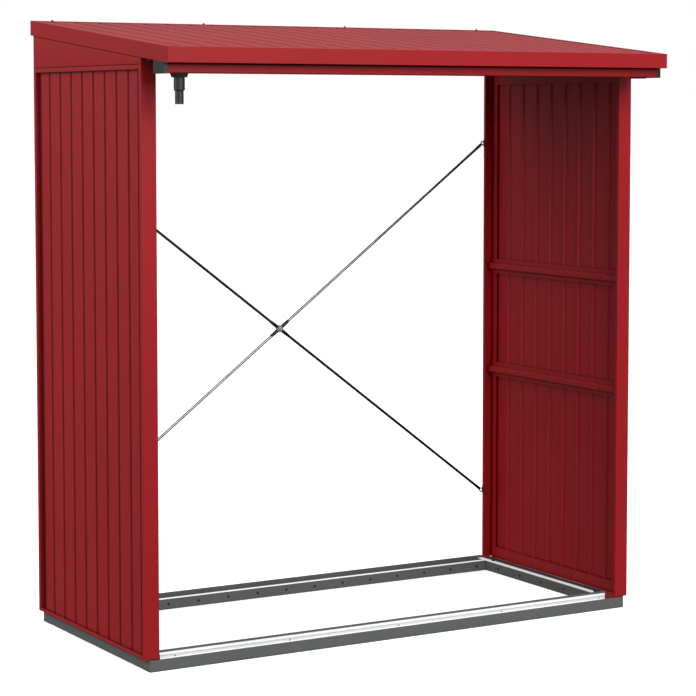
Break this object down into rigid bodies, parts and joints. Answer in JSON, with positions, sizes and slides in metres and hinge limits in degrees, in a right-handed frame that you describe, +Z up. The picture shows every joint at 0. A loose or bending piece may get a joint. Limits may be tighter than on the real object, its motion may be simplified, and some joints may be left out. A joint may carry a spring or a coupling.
{
  "type": "log store",
  "caption": "Open-fronted log store of painted sheet steel: ribbed side walls, ribbed single-pitch roof with a front gutter and stepped outlet, channel base frame and crossed rods at the back.",
  "frame": {"origin": "on the ground, at the middle of the roof's footprint", "axes": "+X along the front, from the outlet's side to the other; +Y from the open front to the back; +Z up"},
  "size_m": [1.783, 0.996, 1.9427],
  "materials": {
    "painted_red": "satin powder coat",
    "painted_grey": "satin powder coat",
    "bright_aluminium": "satin",
    "black_plastic": "matt",
    "steel_rod": "zinc plated",
    "light_hub": "zinc plated"
  },
  "bodies": {
    "root": {"front_left_post": "painted_red", "front_right_post": "painted_red", "back_left_post": "painted_red", "back_right_post": "painted_red", "left_wall_sheet": "painted_red", "right_wall_sheet": "painted_red", "left_wall_bottom_rail": "painted_red", "right_wall_bottom_rail": "painted_red", "left_wall_top_rail": "painted_red", "right_wall_top_rail": "painted_red", "left_gable": "painted_red", "right_gable": "painted_red", "left_lower_girt": "painted_red", "right_lower_girt": "painted_red", "left_upper_girt": "painted_red", "right_upper_girt": "painted_red", "left_fascia": "painted_red", "right_fascia": "painted_red", "front_fascia": "painted_red", "back_fascia": "painted_red", "roof_sheet_left": "painted_red", "roof_sheet_middle": "painted_red", "roof_sheet_right": "painted_red", "front_beam": "painted_red", "back_beam": "painted_red", "gutter": "painted_red", "left_gutter_bracket": "painted_red", "right_gutter_bracket": "painted_red", "front_rail": "painted_grey", "back_rail": "painted_grey", "left_rail": "painted_grey", "right_rail": "painted_grey", "front_sill": "bright_aluminium", "left_rail_strip": "bright_aluminium", "right_rail_strip": "bright_aluminium", "back_rail_strip": "bright_aluminium", "left_gutter_cap": "black_plastic", "right_gutter_cap": "black_plastic", "gutter_outlet": "black_plastic", "gutter_plug": "black_plastic", "left_upper_rod": "steel_rod", "right_upper_rod": "steel_rod", "left_lower_rod": "steel_rod", "right_lower_rod": "steel_rod", "brace_hub": "light_hub"}
  },
  "joints": []
}
